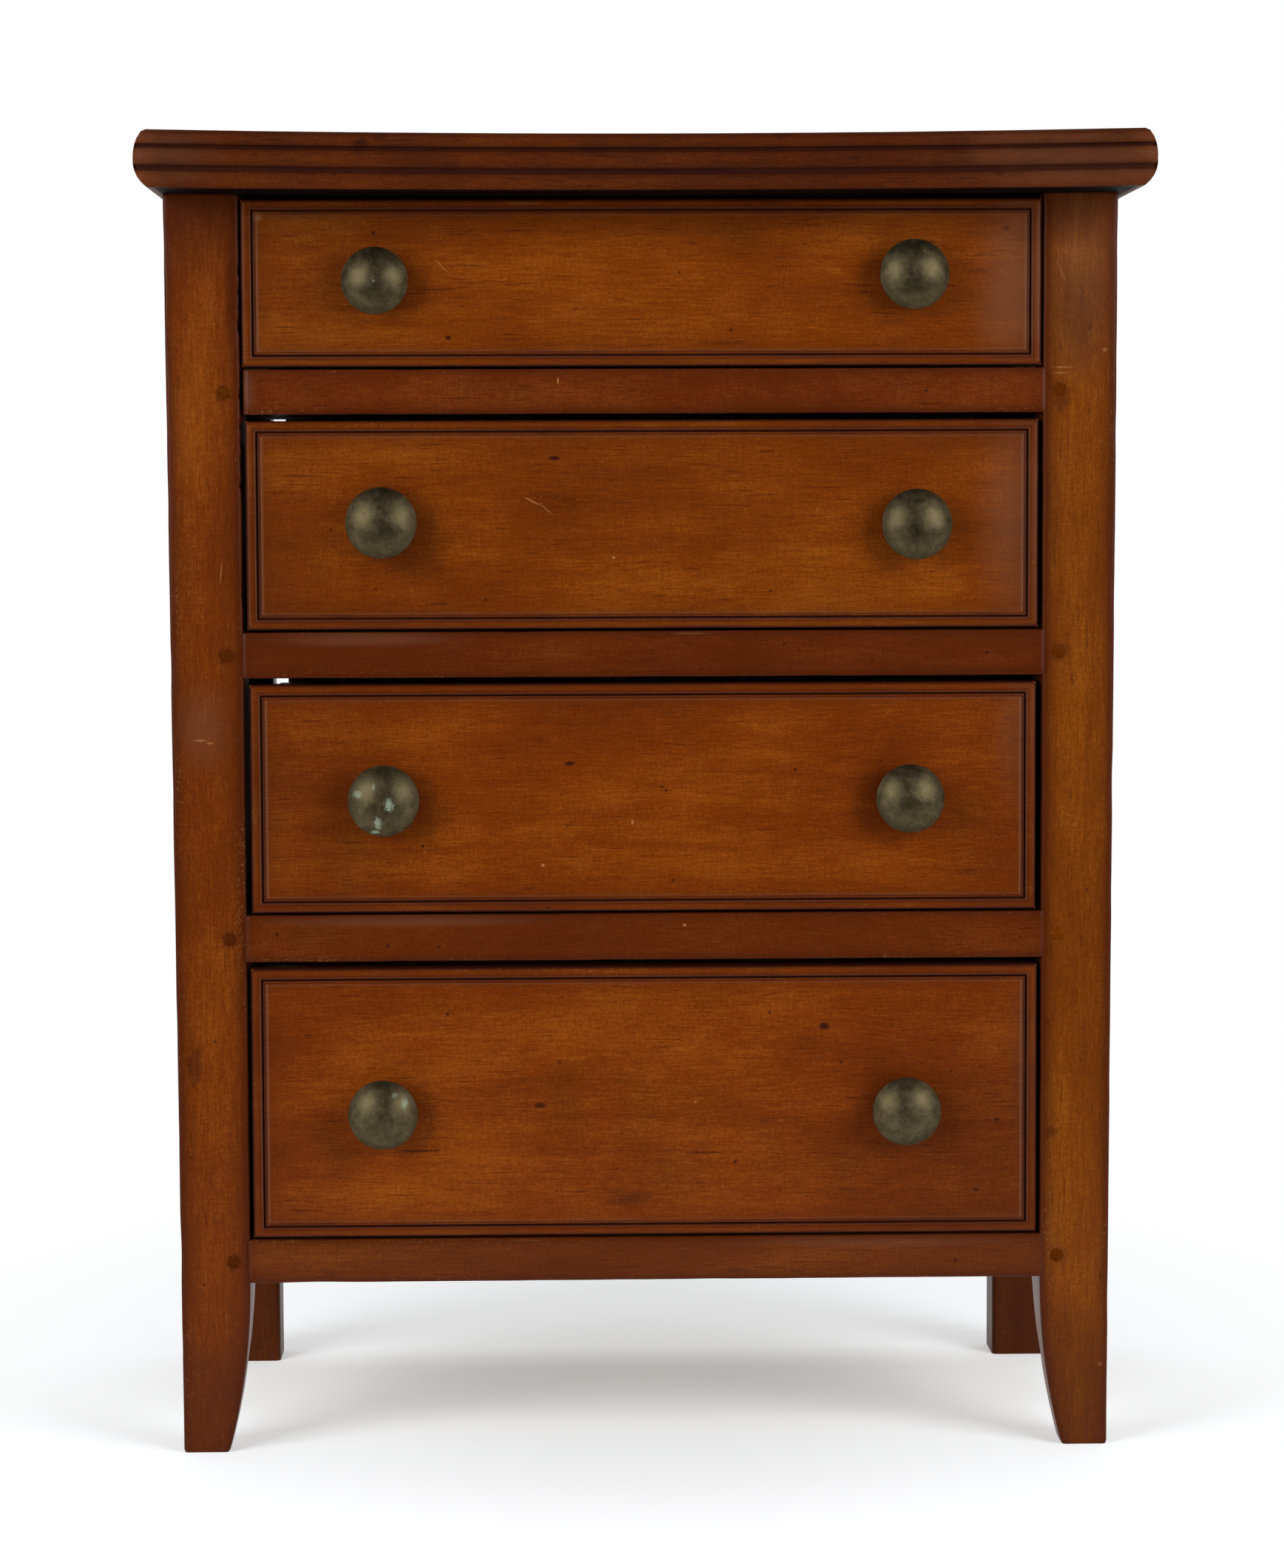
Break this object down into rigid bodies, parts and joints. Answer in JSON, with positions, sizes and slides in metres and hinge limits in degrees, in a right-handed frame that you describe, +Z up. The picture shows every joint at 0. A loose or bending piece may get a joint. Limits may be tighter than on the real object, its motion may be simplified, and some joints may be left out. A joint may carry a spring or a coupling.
{
  "type": "miniature chest of drawers",
  "caption": "Tabletop chest of graduated drawers in a pegged post-and-rail case, with a reeded top board, beaded drawer fronts, turned brass knobs and shaped feet.",
  "frame": {"origin": "middle of the overall box's base, on the surface that the feet stand on", "axes": "+Z up, +Y from the drawer fronts to the back, +X to the right as seen from the front"},
  "size_m": [0.2534, 0.142, 0.3354],
  "materials": {
    "varnished_wood": "satin varnish, darkened and worn",
    "bare_wood": "planed and left bare, darkened by age",
    "aged_brass": "dull, darkened, with worn and greenish spots",
    "iron": "dull, rusted"
  },
  "bodies": {
    "case": {"top_board": "varnished_wood", "post_front_left": "varnished_wood", "post_front_right": "varnished_wood", "post_rear_left": "varnished_wood", "post_rear_right": "varnished_wood", "side_panel_left": "varnished_wood", "side_panel_right": "varnished_wood", "rail_1": "varnished_wood", "rail_2": "varnished_wood", "rail_3": "varnished_wood", "rail_bottom": "varnished_wood", "rear_rail_top": "bare_wood", "rear_rail_bottom": "bare_wood", "back_board_left": "bare_wood", "back_board_right": "bare_wood", "back_nails": "iron", "runner_1_left": "bare_wood", "runner_1_right": "bare_wood", "runner_2_left": "bare_wood", "runner_2_right": "bare_wood", "runner_3_left": "bare_wood", "runner_3_right": "bare_wood", "runner_4_left": "bare_wood", "runner_4_right": "bare_wood", "guides": "bare_wood", "kicker_left": "bare_wood", "kicker_right": "bare_wood", "pegs": "varnished_wood"},
    "drawer_1": {"drawer_1_front": "varnished_wood", "drawer_1_side_left": "bare_wood", "drawer_1_side_right": "bare_wood", "drawer_1_back": "bare_wood", "drawer_1_bottom": "bare_wood", "drawer_1_knob_left": "aged_brass", "drawer_1_knob_right": "aged_brass", "drawer_1_nuts": "iron"},
    "drawer_2": {"drawer_2_front": "varnished_wood", "drawer_2_side_left": "bare_wood", "drawer_2_side_right": "bare_wood", "drawer_2_back": "bare_wood", "drawer_2_bottom": "bare_wood", "drawer_2_knob_left": "aged_brass", "drawer_2_knob_right": "aged_brass", "drawer_2_nuts": "iron"},
    "drawer_3": {"drawer_3_front": "varnished_wood", "drawer_3_side_left": "bare_wood", "drawer_3_side_right": "bare_wood", "drawer_3_back": "bare_wood", "drawer_3_bottom": "bare_wood", "drawer_3_knob_left": "aged_brass", "drawer_3_knob_right": "aged_brass", "drawer_3_nuts": "iron"},
    "drawer_4": {"drawer_4_front": "varnished_wood", "drawer_4_side_left": "bare_wood", "drawer_4_side_right": "bare_wood", "drawer_4_back": "bare_wood", "drawer_4_bottom": "bare_wood", "drawer_4_knob_left": "aged_brass", "drawer_4_knob_right": "aged_brass", "drawer_4_nuts": "iron"}
  },
  "joints": [
    {"name": "drawer_1_slide", "type": "slide", "parent": "case", "child": "drawer_1", "axis": [0, -1, 0], "range_m": [0, 0.08]},
    {"name": "drawer_2_slide", "type": "slide", "parent": "case", "child": "drawer_2", "axis": [0, -1, 0], "range_m": [0, 0.08]},
    {"name": "drawer_3_slide", "type": "slide", "parent": "case", "child": "drawer_3", "axis": [0, -1, 0], "range_m": [0, 0.08]},
    {"name": "drawer_4_slide", "type": "slide", "parent": "case", "child": "drawer_4", "axis": [0, -1, 0], "range_m": [0, 0.08]}
  ]
}
